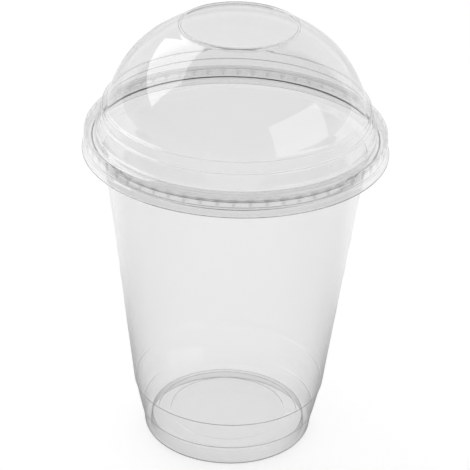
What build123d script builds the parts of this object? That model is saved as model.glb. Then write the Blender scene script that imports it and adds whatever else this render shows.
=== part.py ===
from build123d import *
import os
from math import asin, cos, sin, sqrt

# A clear disposable smoothie cup with a closed dome lid pressed on to its rim. Both pieces are
# thermoformed from thin clear sheet. Sizes are in millimetres. The origin is the middle of the
# circle that the cup stands on, and +Z is up.

# Cup: a tapered tumbler with a rolled rim
cup_height = 114.0
cup_wall = 0.24
rim_diameter = 98.0
curl_height = 3.4  # the rolled rim, from its crest to its trimmed edge
curl_bend = 0.95  # cut off each corner of the rolled rim's section
curl_gap = 0.8  # left open between the trimmed edge and the band inside it
band_inset = 3.3  # from the outside of the rim to the face of the band inside it
band_depth = 7.0  # from the crest down to the narrow shoulder under the band
shoulder_depth = 0.8
wall_top_diameter = 87.0
wall_foot_diameter = 65.4  # top of the stacking step
step_top_level = 18.8
step_foot_diameter = 62.3
step_foot_level = 12.8
ledge_top_diameter = 60.2  # a second, smaller step above the heel
ledge_top_level = 8.0
ledge_foot_diameter = 58.7
ledge_foot_level = 5.2
heel_diameter = 57.4
heel_bend = 1.1  # cut off the heel's corner
stand_diameter = 53.8  # inner edge of the narrow hollow ring that the cup stands on
base_diameter = 52.8
base_level = 3.9  # underside of the raised base
wide_relief_diameter = 48.8  # the base rises by one relief_rise inside each relief ring
narrow_relief_diameter = 40.2
relief_rise = 0.3

# Lid: a closed dome above two stepped rings, with a fluted skirt that grips the rim
lid_wall = 0.20
lid_rise = 35.75  # from the shoulder's top to the crest of the bead
disc_diameter = 36.8  # the flat closed top
disc_drop = 0.7
bead_slope = 0.5
bead_width = 0.7  # crest of the raised bead round the top
bead_height = 1.0  # above the dome's upper edge
dome_bend = 37.0
dome_centre_radius = 6.5  # the middle of the dome's arc, out from the axis
dome_flats = 9  # the arc is drawn as this many flats
upper_ring_rise = 8.45  # the dome's foot, above the shoulder's top
upper_ring_diameter = 88.2
lower_ring_diameter = 89.6
lower_ring_inset = 0.9
lower_ring_rise = 4.65  # above the shoulder's top
shoulder_diameter = 91.8
shoulder_bend = 0.45
skirt_depth = 7.6  # from the shoulder's top down to the lip
skirt_flare = 0.2
snap_level = 2.6  # middle of the snap groove, above the lip
snap_height = 1.4
band_flare = 0.15
lip_width = 0.35

# Flutes pressed into the skirt, wide above and running out to a point below
flute_count = 60
flute_width = 3.4
flute_height = 3.0
flute_depth = 0.36
flute_drop = 1.2  # from the shoulder's top to the flutes

# Clearances between the rim and the lid
seat_gap = 0.05
skirt_gap = 0.15  # to the crests inside the flutes
snap_gap = 0.05


def eased(*corners):
    """The points of a path. A corner with a third figure is cut off that far each way."""
    points = []
    for number, (radius, level, *cut) in enumerate(corners):
        corner = Vector(radius, level)
        if cut:
            for neighbour in (corners[number - 1], corners[number + 1]):
                points.append(corner + (Vector(*neighbour[:2]) - corner).normalized() * cut[0])
        else:
            points.append(corner)
    return points


def beside(points, distance):
    """The same path drawn to its right, with its corners as sharp."""
    sides = [(end - start).normalized().rotate(Axis.Z, -90) for start, end in zip(points, points[1:])]
    turns = zip(points, sides[:1] + sides, sides + sides[-1:])
    return [point + (one + two) * (distance / (1 + one.dot(two))) for point, one, two in turns]


def turned(edges):
    """Turn a section, drawn as (radius, level), round the Z axis."""
    return revolve(Plane.XZ * make_face(edges), Axis.Z)


def cup_solid():
    """The tumbler. Its path is the face that the drink touches, then the outside of the curl."""
    rim_radius = rim_diameter / 2
    band_radius = rim_radius - band_inset
    curl_foot = cup_height - curl_height
    shoulder_level = cup_height - band_depth
    floor_level = base_level + cup_wall
    inner = eased(
        (0, floor_level + 2 * relief_rise),
        (narrow_relief_diameter / 2 - relief_rise, floor_level + 2 * relief_rise),
        (narrow_relief_diameter / 2, floor_level + relief_rise),
        (wide_relief_diameter / 2 - relief_rise, floor_level + relief_rise),
        (wide_relief_diameter / 2, floor_level),
        (base_diameter / 2, floor_level),
        (stand_diameter / 2, cup_wall),
        (heel_diameter / 2 - cup_wall, cup_wall, heel_bend),
        (ledge_foot_diameter / 2 - cup_wall, ledge_foot_level),
        (ledge_top_diameter / 2 - cup_wall, ledge_top_level),
        (step_foot_diameter / 2 - cup_wall, step_foot_level),
        (wall_foot_diameter / 2 - cup_wall, step_top_level),
        (wall_top_diameter / 2 - cup_wall, shoulder_level - shoulder_depth),
        (band_radius, shoulder_level),
        (band_radius, cup_height, curl_bend),
        (rim_radius, cup_height, curl_bend),
        (rim_radius, curl_foot, curl_bend),
        (band_radius + cup_wall + curl_gap, curl_foot),
    )
    outer = beside(inner, cup_wall)
    return turned(Polyline(*inner, *reversed(outer), close=True).edges())


def dome_arc(top_radius, top_level, foot_level):
    """The points of the dome's arc, from its top edge down to its foot."""
    centre = Vector(dome_centre_radius, top_level - sqrt(dome_bend**2 - (top_radius - dome_centre_radius)**2))
    top_angle = asin((top_level - centre.Y) / dome_bend)
    foot_angle = asin((foot_level - centre.Y) / dome_bend)
    angles = [top_angle + (foot_angle - top_angle) * flat / dome_flats for flat in range(dome_flats + 1)]
    return [(centre.X + dome_bend * cos(angle), centre.Y + dome_bend * sin(angle)) for angle in angles]


def lid_form(inset):
    """The whole space inside one of the lid's faces: the outer one, or the inner one at its inset."""
    rim_radius = rim_diameter / 2
    disc_radius = disc_diameter / 2
    bead_radius = disc_radius + bead_slope + bead_width
    shoulder_level = cup_height + seat_gap + lid_wall
    bead_level = shoulder_level + lid_rise
    upper_ring_level = shoulder_level + upper_ring_rise
    lower_ring_level = shoulder_level + lower_ring_rise
    lip_level = shoulder_level - skirt_depth
    crest_radius = rim_radius + skirt_gap + flute_depth + lid_wall
    snap_radius = rim_radius + snap_gap + lid_wall
    snap_middle = lip_level + snap_level
    flared_radius = crest_radius + skirt_flare
    band_foot_radius = flared_radius + band_flare
    flute_top = shoulder_level - flute_drop
    face = beside(eased(
        (0, bead_level - disc_drop),
        (disc_radius, bead_level - disc_drop),
        (disc_radius + bead_slope, bead_level),
        (bead_radius, bead_level),
        *dome_arc(bead_radius, bead_level - bead_height, upper_ring_level),
        (upper_ring_diameter / 2, upper_ring_level),
        (lower_ring_diameter / 2 - lower_ring_inset, lower_ring_level),
        (lower_ring_diameter / 2, lower_ring_level),
        (shoulder_diameter / 2, shoulder_level),
        (crest_radius, shoulder_level, shoulder_bend),
        (flared_radius, snap_middle + snap_height / 2),
        (snap_radius, snap_middle),
        (flared_radius, snap_middle - snap_height / 2),
        (band_foot_radius, lip_level),
    ), inset)
    form = turned(Polyline(*face, (0, face[-1].Y), close=True).edges())

    skirt_lean = skirt_flare / (shoulder_level - snap_middle - snap_height / 2)
    face_radius = crest_radius + skirt_lean * flute_drop
    valley_lean = skirt_lean + flute_depth / flute_height
    form -= flutes(face_radius - inset * (1 + valley_lean), flute_top + inset, valley_lean)
    return form


def flutes(face_radius, top_level, valley_lean):
    """The notches round a face: V-shaped troughs whose valleys lean out until they leave it."""
    valley_radius = face_radius - flute_depth
    mouth_radius = face_radius + flute_depth
    section = Polyline(
        (valley_radius, 0, top_level),
        (mouth_radius, flute_width, top_level),
        (mouth_radius, -flute_width, top_level),
        close=True,
    )
    reach = flute_height + 2 * lid_wall
    valley = Vector(valley_lean * reach, 0, -reach)
    notch = extrude(make_face(section), amount=valley.length, dir=valley)
    return [Rot(Z=360 * number / flute_count) * notch for number in range(flute_count)]


def lip():
    """The flat flange that the skirt ends in."""
    lip_level = cup_height + seat_gap + lid_wall - skirt_depth
    band_foot_radius = rim_diameter / 2 + skirt_gap + flute_depth + lid_wall + skirt_flare + band_flare
    edge = Circle(band_foot_radius + lip_width) - Circle(band_foot_radius - lid_wall)
    return Pos(Z=lip_level) * extrude(edge, lid_wall)


cup = cup_solid()
dome_lid = lid_form(0) - lid_form(lid_wall) + lip()

os.makedirs("parts", exist_ok=True)
export_step(cup, "parts/cup.step")
export_step(dome_lid, "parts/dome_lid.step")
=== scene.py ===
"""The clear smoothie cup and its dome lid, on a white sweep under soft studio light."""

from math import acos, atan2, ceil, cos, pi, sin, sqrt, tan

import bmesh
import bpy
from mathutils import Matrix, Vector


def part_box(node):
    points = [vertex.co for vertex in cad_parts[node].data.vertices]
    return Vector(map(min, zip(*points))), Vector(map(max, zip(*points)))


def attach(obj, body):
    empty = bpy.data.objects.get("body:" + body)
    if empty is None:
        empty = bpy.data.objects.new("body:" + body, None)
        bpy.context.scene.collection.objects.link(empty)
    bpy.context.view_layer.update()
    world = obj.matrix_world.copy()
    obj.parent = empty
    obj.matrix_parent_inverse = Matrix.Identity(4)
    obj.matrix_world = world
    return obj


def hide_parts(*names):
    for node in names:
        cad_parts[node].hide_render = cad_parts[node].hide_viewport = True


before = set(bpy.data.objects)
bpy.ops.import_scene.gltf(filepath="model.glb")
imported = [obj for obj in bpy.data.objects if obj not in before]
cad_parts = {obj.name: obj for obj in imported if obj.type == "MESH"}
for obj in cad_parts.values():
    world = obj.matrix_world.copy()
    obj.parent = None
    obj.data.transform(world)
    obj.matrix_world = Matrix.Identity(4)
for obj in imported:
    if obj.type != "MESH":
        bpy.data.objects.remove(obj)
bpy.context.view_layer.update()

MM = 0.001

# Sizes in millimetres. The parts in model.glb give what the two pieces must agree on.
CUP_LOW, CUP_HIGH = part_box("cup")
LID_LOW, LID_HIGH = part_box("dome_lid")
CUP_HEIGHT = CUP_HIGH.z / MM
RIM_RADIUS = CUP_HIGH.x / MM
TOTAL_HEIGHT = LID_HIGH.z / MM
LIP_LEVEL = LID_LOW.z / MM

# Cup
CUP_WALL = 0.24
CURL_HEIGHT = 3.4
CURL_BEND = 1.5
CURL_GAP = 0.8
BAND_RADIUS = RIM_RADIUS - 3.3
BAND_DEPTH = 7.0
SHOULDER_DEPTH = 0.8
WALL_TOP_RADIUS = 43.5
WALL_FOOT_RADIUS = 32.7
STEP_TOP_LEVEL = 18.8
STEP_FOOT_RADIUS = 31.15
STEP_FOOT_LEVEL = 12.8
LEDGE_TOP_RADIUS = 30.1
LEDGE_TOP_LEVEL = 8.0
LEDGE_FOOT_RADIUS = 29.35
LEDGE_FOOT_LEVEL = 5.2
HEEL_RADIUS = 28.7
HEEL_BEND = 1.3
STAND_RADIUS = 26.9
BASE_RADIUS = 26.4
BASE_LEVEL = 3.9
WIDE_RELIEF_RADIUS = 24.4
NARROW_RELIEF_RADIUS = 20.1
RELIEF_RISE = 0.3

# Lid
LID_WALL = 0.20
DISC_RADIUS = 18.4
DISC_DROP = 0.7
BEAD_SLOPE = 0.5
BEAD_WIDTH = 0.7
BEAD_HEIGHT = 1.0
DOME_BEND = 37.0
DOME_CENTRE_RADIUS = 6.5
DOME_FOOT_LEVEL = 122.7
UPPER_RING_RADIUS = 44.1
LOWER_RING_RADIUS = 44.8
LOWER_RING_INSET = 0.9
LOWER_RING_LEVEL = 118.9
LID_SHOULDER_RADIUS = 45.9
SEAT_GAP = 0.05
SKIRT_GAP = 0.15
SNAP_GAP = 0.05
SKIRT_FLARE = 0.2
SNAP_LEVEL = 2.6
SNAP_HEIGHT = 1.4
BAND_FLARE = 0.15
LIP_WIDTH = 0.35

# Flutes, V-shaped and wide above, running out to a point below
FLUTE_COUNT = 60
FLUTE_WIDTH = 3.4
FLUTE_HEIGHT = 3.0
FLUTE_DEPTH = 0.36
FLUTE_DROP = 1.2

# The bends that soften each corner. A crease is a short flat just below a step's edge.
SMALL_BEND = 0.5
STAND_BEND = 0.2
LEDGE_BEND = 1.5
STEP_BEND = 2.5
CREASE_WIDTH = 0.3
CREASE_DROP = 0.25
CREASE_BEND = 0.25
BEAD_BEND = 0.3
DOME_FOOT_BEND = 0.6
LOWER_RING_BEND = 0.4
CREST_BEND = 0.7
SNAP_BEND = 0.3
LIP_BEND = 0.2

# How finely the profiles and their turns are drawn
CUP_STEPS = 330
LID_STEPS = 420
CUP_ARC_STEP = 0.21  # radians for each chord of a bend
LID_ARC_STEP = 0.35
DOME_CHORDS = 28
SKIRT_CHORDS = 12
CREST_CHORDS = 3  # of the skirt's chords, taken up by the bend at its crest
LONGEST_RUN = 4.0
BEND_MARGIN = 0.25  # from a bend to the next point, so that the bend's shading stays in it
WELD_DISTANCE = 1e-6
LEAST_EDGE = 1e-7

FLUTE_RUN_OUT = 8.0  # above its top a notch ends within an eighth of its height

# Painted shade in the flutes: full just inside a notch's edges, rising from its point and thinning towards
# its top
PAINTED_SHADE_RISE = 4.0
PAINTED_SHADE_TOP = 1.2

# Thermoformed PET
CUP_TINT = "#FAFAFA"
LID_TINT = "#F2F2F2"
# painted shade: the greyer tint laid into the flutes' notches, standing in for the shade their steep faces
# hold
FLUTE_PAINTED_SHADE_TINT = "#D6D6D6"
SHADOW_TINT = "#EEEEEE"
PET_INDEX = 1.575
PET_ROUGHNESS = 0.015
WAVE_LENGTH = 14
WAVE_HEIGHT = 0.4
WAVE_STRENGTH = 0.04

# The studio, in metres. The shares of light are of white.
FLOOR_HALF = 8.0
PAPER_TINT = "#CBCBCB"
PAPER_LIFT = 0.56
PAPER_REACH = 0.32
PAPER_FADE = 0.06
DARK_STUDIO_TINT = "#505050"
ROOM_TINT = "#C4C4C4"
REFLECTED_ROOM_TINT = "#A0A0A0"
BACKDROP_TINT = "#FAFAFA"
BACKDROP_START, BACKDROP_FULL = 0.52, 0.64  # how far towards the back a direction points

# The camera: where it stands and looks, its slight roll in radians, and its lens
CAMERA_PLACE = Vector((0.0, -0.62590, 0.41184))
CAMERA_AIM = Vector((0.00074, 0.0, 0.073587))
CAMERA_ROLL = 0.032
CAMERA_LENS = 162.155
SENSOR_WIDTH = 36.0


def linear(hex_colour):
    """An sRGB hex colour as linear RGBA."""
    channels = [int(hex_colour[i:i + 2], 16) / 255 for i in (1, 3, 5)]
    return [c / 12.92 if c <= 0.04045 else ((c + 0.055) / 1.055) ** 2.4 for c in channels] + [1.0]


def add_node(tree, kind, settings=None, inputs=None):
    """Add one node with its settings; an input may be a value or another node's socket."""
    node = tree.nodes.new(kind)
    for name, value in (settings or {}).items():
        setattr(node, name, value)
    for name, value in (inputs or {}).items():
        if isinstance(value, bpy.types.NodeSocket):
            tree.links.new(value, node.inputs[name])
        else:
            node.inputs[name].default_value = value
    return node


def calc(tree, operation, *values):
    """The result of one sum; each value may be a number or another node's socket."""
    return add_node(tree, "ShaderNodeMath", {"operation": operation}, dict(enumerate(values))).outputs[0]


def ramp(tree, value, start, full):
    """A smooth rise from 0 at the start to 1 where it is full."""
    return add_node(tree, "ShaderNodeMapRange", {"interpolation_type": "SMOOTHSTEP"}, {
        "Value": value, "From Min": start, "From Max": full}).outputs[0]


# Profiles: paths in the (radius, level) plane, in millimetres

def rounded(corners, step):
    """The path through (radius, level, bend) corners, each bend an arc of short chords."""
    path = [Vector(corners[0][:2])]
    for before, corner, after in zip(corners, corners[1:], corners[2:]):
        here, bend = Vector(corner[:2]), corner[2]
        if not bend:
            path.append(here)
            continue
        back = (Vector(before[:2]) - here).normalized()
        ahead = (Vector(after[:2]) - here).normalized()
        half = acos(back.dot(ahead)) / 2
        centre = here + (back + ahead).normalized() * bend / sin(half)
        first = here + back * bend / tan(half) - centre
        last = here + ahead * bend / tan(half) - centre
        start = atan2(first.y, first.x)
        turn = (atan2(last.y, last.x) - start + pi) % (2 * pi) - pi
        steps = max(2, ceil(abs(turn) / step))
        angles = [start + turn * i / steps for i in range(steps + 1)]
        path += [centre + bend * Vector((cos(angle), sin(angle))) for angle in angles]
    return path + [Vector(corners[-1][:2])]


def spaced(path):
    """The same path with its long runs split, and a point close beside each bend."""
    out = [path[0]]
    for start, end in zip(path, path[1:]):
        run = (end - start).length
        if run > LONGEST_RUN:
            ends = [BEND_MARGIN / run, 1 - BEND_MARGIN / run]
            pieces = ceil(run / LONGEST_RUN)
            shares = sorted(ends + [i / pieces for i in range(1, pieces)])
            out += [start.lerp(end, share) for share in shares]
        out.append(end)
    return out


def sheet(path, thickness):
    """The closed outline of a sheet with the path as one face and the other to its right."""
    other = []
    for i, point in enumerate(path):
        before = path[max(i - 1, 0)]
        after = path[min(i + 1, len(path) - 1)]
        one = (point - before).normalized() if i else (after - point).normalized()
        two = (after - point).normalized() if i < len(path) - 1 else one
        side = Vector((one.y + two.y, -one.x - two.x)) / (1 + one.dot(two))
        other.append(point + side * thickness)
    return path + other[::-1]


def cup_outline():
    """The face that the drink touches, then the outside of the curl."""
    shoulder_level = CUP_HEIGHT - BAND_DEPTH
    base_face = BASE_LEVEL + CUP_WALL
    curl_foot = CUP_HEIGHT - CURL_HEIGHT
    path = rounded([
        (0, base_face + 2 * RELIEF_RISE, 0),
        (NARROW_RELIEF_RADIUS - RELIEF_RISE, base_face + 2 * RELIEF_RISE, SMALL_BEND),
        (NARROW_RELIEF_RADIUS, base_face + RELIEF_RISE, SMALL_BEND),
        (WIDE_RELIEF_RADIUS - RELIEF_RISE, base_face + RELIEF_RISE, SMALL_BEND),
        (WIDE_RELIEF_RADIUS, base_face, SMALL_BEND),
        (BASE_RADIUS, base_face, SMALL_BEND),
        (STAND_RADIUS, CUP_WALL, STAND_BEND),
        (HEEL_RADIUS - CUP_WALL, CUP_WALL, HEEL_BEND),
        (LEDGE_FOOT_RADIUS - CUP_WALL, LEDGE_FOOT_LEVEL, LEDGE_BEND),
        (LEDGE_TOP_RADIUS - CUP_WALL - CREASE_WIDTH, LEDGE_TOP_LEVEL - CREASE_DROP, CREASE_BEND),
        (LEDGE_TOP_RADIUS - CUP_WALL, LEDGE_TOP_LEVEL, CREASE_BEND),
        (STEP_FOOT_RADIUS - CUP_WALL, STEP_FOOT_LEVEL, STEP_BEND),
        (WALL_FOOT_RADIUS - CUP_WALL - CREASE_WIDTH, STEP_TOP_LEVEL - CREASE_DROP, CREASE_BEND),
        (WALL_FOOT_RADIUS - CUP_WALL, STEP_TOP_LEVEL, CREASE_BEND),
        (WALL_TOP_RADIUS - CUP_WALL, shoulder_level - SHOULDER_DEPTH, SMALL_BEND),
        (BAND_RADIUS, shoulder_level, SMALL_BEND),
        (BAND_RADIUS, CUP_HEIGHT, CURL_BEND),
        (RIM_RADIUS, CUP_HEIGHT, CURL_BEND),
        (RIM_RADIUS, curl_foot, CURL_BEND),
        (BAND_RADIUS + CUP_WALL + CURL_GAP, curl_foot, 0),
    ], CUP_ARC_STEP)
    return sheet(spaced(path), CUP_WALL)


def lid_outline():
    """The lid's outer face, from the middle of its top to the edge of its lip."""
    shoulder_level = CUP_HEIGHT + SEAT_GAP + LID_WALL
    crest = RIM_RADIUS + SKIRT_GAP + FLUTE_DEPTH + LID_WALL
    flared = crest + SKIRT_FLARE
    snap_middle = LIP_LEVEL + SNAP_LEVEL
    snap_top = snap_middle + SNAP_HEIGHT / 2
    lip_face = LIP_LEVEL + LID_WALL
    bead_radius = DISC_RADIUS + BEAD_SLOPE + BEAD_WIDTH
    dome_top_level = TOTAL_HEIGHT - BEAD_HEIGHT
    bead_aside = bead_radius - DOME_CENTRE_RADIUS
    dome_centre_level = dome_top_level - sqrt(DOME_BEND**2 - bead_aside**2)
    foot_above = DOME_FOOT_LEVEL - dome_centre_level
    foot_aside = sqrt(DOME_BEND**2 - foot_above**2)
    first = atan2(dome_top_level - dome_centre_level, bead_aside)
    last = atan2(foot_above, foot_aside)
    dome_angles = [first + (last - first) * chord / DOME_CHORDS for chord in range(1, DOME_CHORDS)]
    dome = [
        (DOME_CENTRE_RADIUS + DOME_BEND * cos(angle), dome_centre_level + DOME_BEND * sin(angle), 0)
        for angle in dome_angles
    ]
    skirt_shares = [chord / SKIRT_CHORDS for chord in range(CREST_CHORDS, SKIRT_CHORDS)]
    skirt = [
        (crest + SKIRT_FLARE * share, shoulder_level + (snap_top - shoulder_level) * share, 0)
        for share in skirt_shares
    ]
    path = rounded([
        (0, TOTAL_HEIGHT - DISC_DROP, 0),
        (DISC_RADIUS, TOTAL_HEIGHT - DISC_DROP, BEAD_BEND),
        (DISC_RADIUS + BEAD_SLOPE, TOTAL_HEIGHT, BEAD_BEND),
        (bead_radius, TOTAL_HEIGHT, BEAD_BEND),
        (bead_radius, dome_top_level, BEAD_BEND),
        *dome,
        (DOME_CENTRE_RADIUS + foot_aside, DOME_FOOT_LEVEL, DOME_FOOT_BEND),
        (UPPER_RING_RADIUS, DOME_FOOT_LEVEL, SMALL_BEND),
        (LOWER_RING_RADIUS - LOWER_RING_INSET, LOWER_RING_LEVEL, LOWER_RING_BEND),
        (LOWER_RING_RADIUS, LOWER_RING_LEVEL, LOWER_RING_BEND),
        (LID_SHOULDER_RADIUS, shoulder_level, SMALL_BEND),
        (crest, shoulder_level, CREST_BEND),
        *skirt,
        (flared, snap_top, SNAP_BEND),
        (RIM_RADIUS + SNAP_GAP + LID_WALL, snap_middle, SNAP_BEND),
        (flared, snap_middle - SNAP_HEIGHT / 2, SNAP_BEND),
        (flared + BAND_FLARE, lip_face, LIP_BEND),
        (flared + BAND_FLARE + LIP_WIDTH, lip_face, 0),
    ], LID_ARC_STEP)
    return sheet(spaced(path), LID_WALL)


# Turning a profile into a piece

def turning_tree(name):
    """Geometry nodes that turn a profile round the axis and press flutes into one band of it."""
    tree = bpy.data.node_groups.new(name, "GeometryNodeTree")
    sockets = tree.interface
    sockets.new_socket("Profile", in_out="INPUT", socket_type="NodeSocketGeometry")
    sockets.new_socket("Points", in_out="INPUT", socket_type="NodeSocketInt")
    sockets.new_socket("Steps", in_out="INPUT", socket_type="NodeSocketInt")
    for label in ("Flutes", "Flute depth", "Flute width", "Flute top", "Flute foot", "Least radius"):
        sockets.new_socket(label, in_out="INPUT", socket_type="NodeSocketFloat")
    sockets.new_socket("Material", in_out="INPUT", socket_type="NodeSocketMaterial")
    sockets.new_socket("Piece", in_out="OUTPUT", socket_type="NodeSocketGeometry")
    given = tree.nodes.new("NodeGroupInput").outputs

    # a grid with one column of the profile's points for each step round the axis
    grid = add_node(tree, "GeometryNodeMeshGrid", inputs={
        "Vertices X": calc(tree, "ADD", given["Steps"], 1), "Vertices Y": given["Points"]})
    index = add_node(tree, "GeometryNodeInputIndex").outputs[0]
    row = calc(tree, "MODULO", index, given["Points"])
    column = calc(tree, "FLOOR", calc(tree, "DIVIDE", index, given["Points"]))
    place = add_node(tree, "GeometryNodeInputPosition").outputs[0]
    sample = add_node(tree, "GeometryNodeSampleIndex", {"data_type": "FLOAT_VECTOR", "domain": "POINT"}, {
        "Geometry": given["Profile"], "Value": place, "Index": row})
    profile = add_node(tree, "ShaderNodeSeparateXYZ", inputs={0: sample.outputs[0]}).outputs
    angle = calc(tree, "MULTIPLY", calc(tree, "DIVIDE", column, given["Steps"]), 2 * pi)

    # how far up its flute a point is
    rise = calc(tree, "DIVIDE", calc(tree, "SUBTRACT", profile["Z"], given["Flute foot"]),
                calc(tree, "SUBTRACT", given["Flute top"], given["Flute foot"]))
    climb = calc(tree, "MINIMUM", calc(tree, "MAXIMUM", rise, 0), 1)
    beyond = calc(tree, "MAXIMUM", calc(tree, "SUBTRACT", rise, 1), 0)
    faded = calc(tree, "MULTIPLY", beyond, FLUTE_RUN_OUT)
    ending = calc(tree, "MAXIMUM", calc(tree, "SUBTRACT", 1, faded), 0)

    # how far round it is from the flute's valley, and so how deep the notch is there
    share = calc(tree, "MULTIPLY", calc(tree, "DIVIDE", angle, 2 * pi), given["Flutes"])
    turns = calc(tree, "FRACT", calc(tree, "ADD", share, 0.5))
    round_length = calc(tree, "MULTIPLY", profile["X"], 2 * pi)
    pitch = calc(tree, "DIVIDE", round_length, calc(tree, "MAXIMUM", given["Flutes"], 1))
    aside = calc(tree, "MULTIPLY", calc(tree, "ABSOLUTE", calc(tree, "SUBTRACT", turns, 0.5)), pitch)
    widest = calc(tree, "MULTIPLY", given["Flute width"], 0.5)
    half_width = calc(tree, "MAXIMUM", calc(tree, "MULTIPLY", widest, climb), WELD_DISTANCE)
    notch = calc(tree, "MAXIMUM", calc(tree, "SUBTRACT", 1, calc(tree, "DIVIDE", aside, half_width)), 0)
    on_skirt = calc(tree, "GREATER_THAN", profile["X"], given["Least radius"])
    here = calc(tree, "MULTIPLY", ending, on_skirt)
    pressed = calc(tree, "MULTIPLY", calc(tree, "MULTIPLY", notch, climb),
                   calc(tree, "MULTIPLY", here, given["Flute depth"]))
    radius = calc(tree, "SUBTRACT", profile["X"], pressed)

    # painted shade for the flutes, which the material lays on as a greyer tint
    across = calc(tree, "MINIMUM", calc(tree, "MULTIPLY", notch, PAINTED_SHADE_RISE), 1)
    upwards = calc(tree, "MINIMUM", calc(tree, "MULTIPLY", climb, PAINTED_SHADE_RISE),
                   calc(tree, "SUBTRACT", PAINTED_SHADE_TOP, climb))
    shade = calc(tree, "MULTIPLY", calc(tree, "MULTIPLY", across, upwards), here)

    position = add_node(tree, "ShaderNodeCombineXYZ", inputs={
        "X": calc(tree, "MULTIPLY", radius, calc(tree, "COSINE", angle)),
        "Y": calc(tree, "MULTIPLY", radius, calc(tree, "SINE", angle)),
        "Z": profile["Z"]})
    moved = add_node(tree, "GeometryNodeSetPosition", inputs={
        "Geometry": grid.outputs["Mesh"], "Position": position.outputs[0]})
    shaded = add_node(tree, "GeometryNodeStoreNamedAttribute", {"data_type": "FLOAT", "domain": "POINT"}, {
        "Geometry": moved.outputs[0], "Name": "painted_flute_shade", "Value": shade})
    merged = add_node(tree, "GeometryNodeMergeByDistance", inputs={
        "Geometry": shaded.outputs[0], "Distance": WELD_DISTANCE})
    smooth = add_node(tree, "GeometryNodeSetShadeSmooth", inputs={"Geometry": merged.outputs[0]})
    real = add_node(tree, "GeometryNodeRealizeInstances", inputs={"Geometry": smooth.outputs[0]})
    finished = add_node(tree, "GeometryNodeSetMaterial", inputs={
        "Geometry": real.outputs[0], "Material": given["Material"]})
    out = tree.nodes.new("NodeGroupOutput")
    tree.links.new(finished.outputs[0], out.inputs["Piece"])
    return tree


def turned_piece(name, tree, outline, settings):
    """A closed mesh made by turning the outline, which starts and ends on the axis."""
    loop = outline + outline[:1]
    mesh = bpy.data.meshes.new(name + "_profile")
    mesh.from_pydata([(p.x * MM, 0, p.y * MM) for p in loop], [(i, i + 1) for i in range(len(loop) - 1)], [])
    source = bpy.data.objects.new(name + "_profile", mesh)
    bpy.context.scene.collection.objects.link(source)
    modifier = source.modifiers.new("turned", "NODES")
    modifier.node_group = tree
    settings = dict(settings, Points=len(loop))
    for item in tree.interface.items_tree:
        if item.item_type == "SOCKET" and item.in_out == "INPUT" and item.name in settings:
            modifier[item.identifier] = settings[item.name]
    evaluated = source.evaluated_get(bpy.context.evaluated_depsgraph_get())
    result = bpy.data.meshes.new_from_object(evaluated)
    source.modifiers.remove(modifier)
    bpy.data.objects.remove(source)

    # the turned stretch along the axis has no width: it is dropped, and the faces are set outwards
    shape = bmesh.new()
    shape.from_mesh(result)
    bmesh.ops.dissolve_degenerate(shape, edges=shape.edges, dist=LEAST_EDGE)
    bmesh.ops.delete(shape, geom=[edge for edge in shape.edges if edge.is_wire], context="EDGES")
    bmesh.ops.recalc_face_normals(shape, faces=shape.faces)
    if shape.calc_volume(signed=True) < 0:
        bmesh.ops.reverse_faces(shape, faces=shape.faces)
    shape.to_mesh(result)
    shape.free()
    piece = bpy.data.objects.new(name, result)
    bpy.context.scene.collection.objects.link(piece)
    return piece


# Materials

def new_material(name):
    """A material with an empty node tree."""
    material = bpy.data.materials.new(name)
    material.use_nodes = True
    material.node_tree.nodes.clear()
    return material, material.node_tree


def clear_sheet(name, tint, painted_flute_shade_tint=None):
    """Thermoformed PET: a clear glossy sheet, a little uneven where it was drawn.

    The flutes get a painted shade, a greyer tint that stands in for the shade their steep faces hold and sets
    them off from the pale faces between them. Light that makes the shadow passes nearly whole, so the floor
    gets a faint shadow.
    """
    material, tree = new_material(name)
    coordinates = add_node(tree, "ShaderNodeTexCoord").outputs["Object"]
    waves = add_node(tree, "ShaderNodeTexNoise", inputs={
        "Vector": coordinates, "Scale": 1 / (WAVE_LENGTH * MM), "Detail": 1.0})
    bump = add_node(tree, "ShaderNodeBump", inputs={
        "Strength": WAVE_STRENGTH, "Distance": WAVE_HEIGHT * MM, "Height": waves.outputs["Fac"]})
    sheet_shader = add_node(tree, "ShaderNodeBsdfPrincipled", inputs={
        "Base Color": linear(tint), "Transmission Weight": 1.0, "IOR": PET_INDEX,
        "Roughness": PET_ROUGHNESS, "Normal": bump.outputs[0]})
    if painted_flute_shade_tint:
        # the painted flute shade that the turning tree stores on the lid
        depth = add_node(tree, "ShaderNodeAttribute", {"attribute_name": "painted_flute_shade"})
        colour = add_node(tree, "ShaderNodeMix", {"data_type": "RGBA"}, {
            0: depth.outputs["Fac"], 6: linear(tint), 7: linear(painted_flute_shade_tint)})
        tree.links.new(colour.outputs[2], sheet_shader.inputs["Base Color"])
    passing = add_node(tree, "ShaderNodeBsdfTransparent", inputs={"Color": linear(SHADOW_TINT)})
    rays = add_node(tree, "ShaderNodeLightPath").outputs
    mixed = add_node(tree, "ShaderNodeMixShader", inputs={
        0: rays["Is Shadow Ray"], 1: sheet_shader.outputs[0], 2: passing.outputs[0]})
    add_node(tree, "ShaderNodeOutputMaterial", inputs={"Surface": mixed.outputs[0]})
    return material


def seen_and_reflected(tree):
    """1 for rays that reach the eye straight or through clear sheets, and 1 for mirrored ones."""
    rays = add_node(tree, "ShaderNodeLightPath").outputs
    reflected = calc(tree, "GREATER_THAN", rays["Glossy Depth"], 0.5)
    either = calc(tree, "MAXIMUM", rays["Is Camera Ray"], rays["Is Transmission Ray"])
    return calc(tree, "GREATER_THAN", either, reflected), reflected


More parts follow.
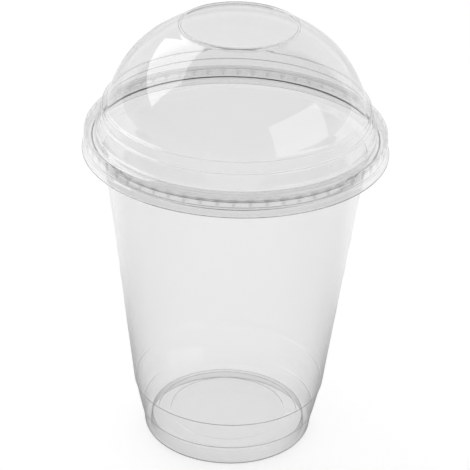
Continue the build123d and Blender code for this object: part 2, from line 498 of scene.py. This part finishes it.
def sweep_material():
    """The white studio sweep: pale paper that takes the object's shadow, lifted to white for the eye.

    The lift is also there for what the clear sheets show: all of the paper through them, and in their
    shine the paper behind the object. In front the paper ends, and their shine shows the darker studio
    beyond it, which makes the flutes and the rings stand out.
    """
    material, tree = new_material("white_sweep")
    place = add_node(tree, "ShaderNodeTexCoord").outputs["Object"]
    away = add_node(tree, "ShaderNodeVectorMath", {"operation": "LENGTH"}, {0: place}).outputs["Value"]
    towards_back = add_node(tree, "ShaderNodeSeparateXYZ", inputs={0: place}).outputs["Y"]
    behind = ramp(tree, towards_back, 0.0, 2 * PAPER_FADE)
    near = ramp(tree, calc(tree, "MULTIPLY", away, -1.0), -PAPER_REACH - PAPER_FADE, -PAPER_REACH)
    covered = calc(tree, "MAXIMUM", behind, near)
    seen, reflected = seen_and_reflected(tree)
    lift = calc(tree, "MAXIMUM", seen, calc(tree, "MULTIPLY", reflected, behind))
    paper = add_node(tree, "ShaderNodeBsdfDiffuse", inputs={"Color": linear(PAPER_TINT)})
    white = add_node(tree, "ShaderNodeEmission", inputs={
        "Color": (1, 1, 1, 1), "Strength": calc(tree, "MULTIPLY", lift, PAPER_LIFT)})
    lifted = add_node(tree, "ShaderNodeAddShader", inputs={0: paper.outputs[0], 1: white.outputs[0]})
    studio = add_node(tree, "ShaderNodeEmission", inputs={"Color": linear(DARK_STUDIO_TINT), "Strength": 1.0})
    bare = calc(tree, "MULTIPLY", reflected, calc(tree, "SUBTRACT", 1.0, covered))
    both = add_node(tree, "ShaderNodeMixShader", inputs={0: bare, 1: lifted.outputs[0], 2: studio.outputs[0]})
    add_node(tree, "ShaderNodeOutputMaterial", inputs={"Surface": both.outputs[0]})
    return material


# The two pieces

turning = turning_tree("turned_sheet")
cup_sheet = clear_sheet("thermoformed_PET_cup", CUP_TINT)
lid_sheet = clear_sheet("thermoformed_PET_lid", LID_TINT, FLUTE_PAINTED_SHADE_TINT)
flute_top = CUP_HEIGHT + SEAT_GAP + LID_WALL - FLUTE_DROP

cup = turned_piece("clear_cup", turning, cup_outline(), {
    "Steps": CUP_STEPS, "Flutes": 0.0, "Material": cup_sheet})
lid = turned_piece("clear_dome_lid", turning, lid_outline(), {
    "Steps": LID_STEPS, "Flutes": float(FLUTE_COUNT), "Flute depth": FLUTE_DEPTH * MM,
    "Flute width": FLUTE_WIDTH * MM, "Flute top": flute_top * MM,
    "Flute foot": (flute_top - FLUTE_HEIGHT) * MM, "Least radius": (RIM_RADIUS - 1) * MM,
    "Material": lid_sheet})

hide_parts("cup")
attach(cup, "cup")
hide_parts("dome_lid")
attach(lid, "lid")


# The studio

def sweep():
    """The flat paper floor."""
    corners = [(x * FLOOR_HALF, y * FLOOR_HALF, 0) for x, y in ((-1, -1), (1, -1), (1, 1), (-1, 1))]
    mesh = bpy.data.meshes.new("sweep")
    mesh.from_pydata(corners, [], [(0, 1, 2, 3)])
    mesh.materials.append(sweep_material())
    floor = bpy.data.objects.new("sweep", mesh)
    bpy.context.scene.collection.objects.link(floor)
    return floor


def studio_world():
    """A soft room with a pale backdrop behind the object, white to the eye and dimmer in its shine."""
    world = bpy.data.worlds.new("studio")
    world.use_nodes = True
    tree = world.node_tree
    tree.nodes.clear()
    direction = add_node(tree, "ShaderNodeTexCoord").outputs["Generated"]
    towards_back = add_node(tree, "ShaderNodeSeparateXYZ", inputs={0: direction}).outputs["Y"]
    behind = ramp(tree, towards_back, BACKDROP_START, BACKDROP_FULL)
    seen, reflected = seen_and_reflected(tree)
    room_colour = add_node(tree, "ShaderNodeMix", {"data_type": "RGBA"}, {
        0: reflected, 6: linear(ROOM_TINT), 7: linear(REFLECTED_ROOM_TINT)})
    room = add_node(tree, "ShaderNodeBackground", inputs={"Color": room_colour.outputs[2], "Strength": 1.0})
    backdrop = add_node(tree, "ShaderNodeBackground", inputs={
        "Color": linear(BACKDROP_TINT), "Strength": 1.0})
    white = add_node(tree, "ShaderNodeBackground", inputs={"Color": (1, 1, 1, 1), "Strength": 1.0})
    around = add_node(tree, "ShaderNodeMixShader", inputs={
        0: behind, 1: room.outputs[0], 2: backdrop.outputs[0]})
    mixed = add_node(tree, "ShaderNodeMixShader", inputs={0: seen, 1: around.outputs[0], 2: white.outputs[0]})
    add_node(tree, "ShaderNodeOutputWorld", inputs={"Surface": mixed.outputs[0]})
    return world


def softbox(name, place, aim, width, height, watts):
    """A rectangular studio light, placed and aimed in metres."""
    light = bpy.data.lights.new(name, "AREA")
    light.shape = "RECTANGLE"
    light.size = width
    light.size_y = height
    light.energy = watts
    lamp = bpy.data.objects.new(name, light)
    lamp.location = place
    lamp.rotation_euler = (Vector(aim) - Vector(place)).to_track_quat("-Z", "Y").to_euler()
    bpy.context.scene.collection.objects.link(lamp)


def level_camera():
    """The camera at the photograph's height and angle, rolled a little about its own axis."""
    data = bpy.data.cameras.new("camera")
    data.sensor_width = SENSOR_WIDTH
    data.lens = CAMERA_LENS
    data.clip_start = 0.05
    data.clip_end = 50
    camera = bpy.data.objects.new("camera", data)
    ahead = (CAMERA_AIM - CAMERA_PLACE).normalized()
    right = ahead.cross(Vector((0, 0, 1))).normalized()
    up = right.cross(ahead)
    tilted_right = right * cos(CAMERA_ROLL) + up * sin(CAMERA_ROLL)
    tilted_up = up * cos(CAMERA_ROLL) - right * sin(CAMERA_ROLL)
    axes = Matrix((tilted_right, tilted_up, -ahead)).transposed().to_4x4()
    camera.matrix_world = Matrix.Translation(CAMERA_PLACE) @ axes
    bpy.context.scene.collection.objects.link(camera)
    return camera


scene = bpy.context.scene
sweep()
scene.world = studio_world()

# The left softbox gives the tall patch on the dome, and the right one the wide, dimmer patch
softbox("left_softbox", (-0.64, 0.268, 0.824), (-0.02, -0.21, 0.77), 0.91, 0.735, 3.3)
softbox("right_softbox", (1.02, -0.62, 0.48), (0, 0, 0.13), 1.2, 0.69, 2.5)

scene.camera = level_camera()
scene.view_settings.view_transform = "Standard"

# Light passes many clear faces before it leaves the rim
scene.cycles.max_bounces = 32
scene.cycles.transmission_bounces = 32
scene.cycles.glossy_bounces = 32
scene.cycles.transparent_max_bounces = 32
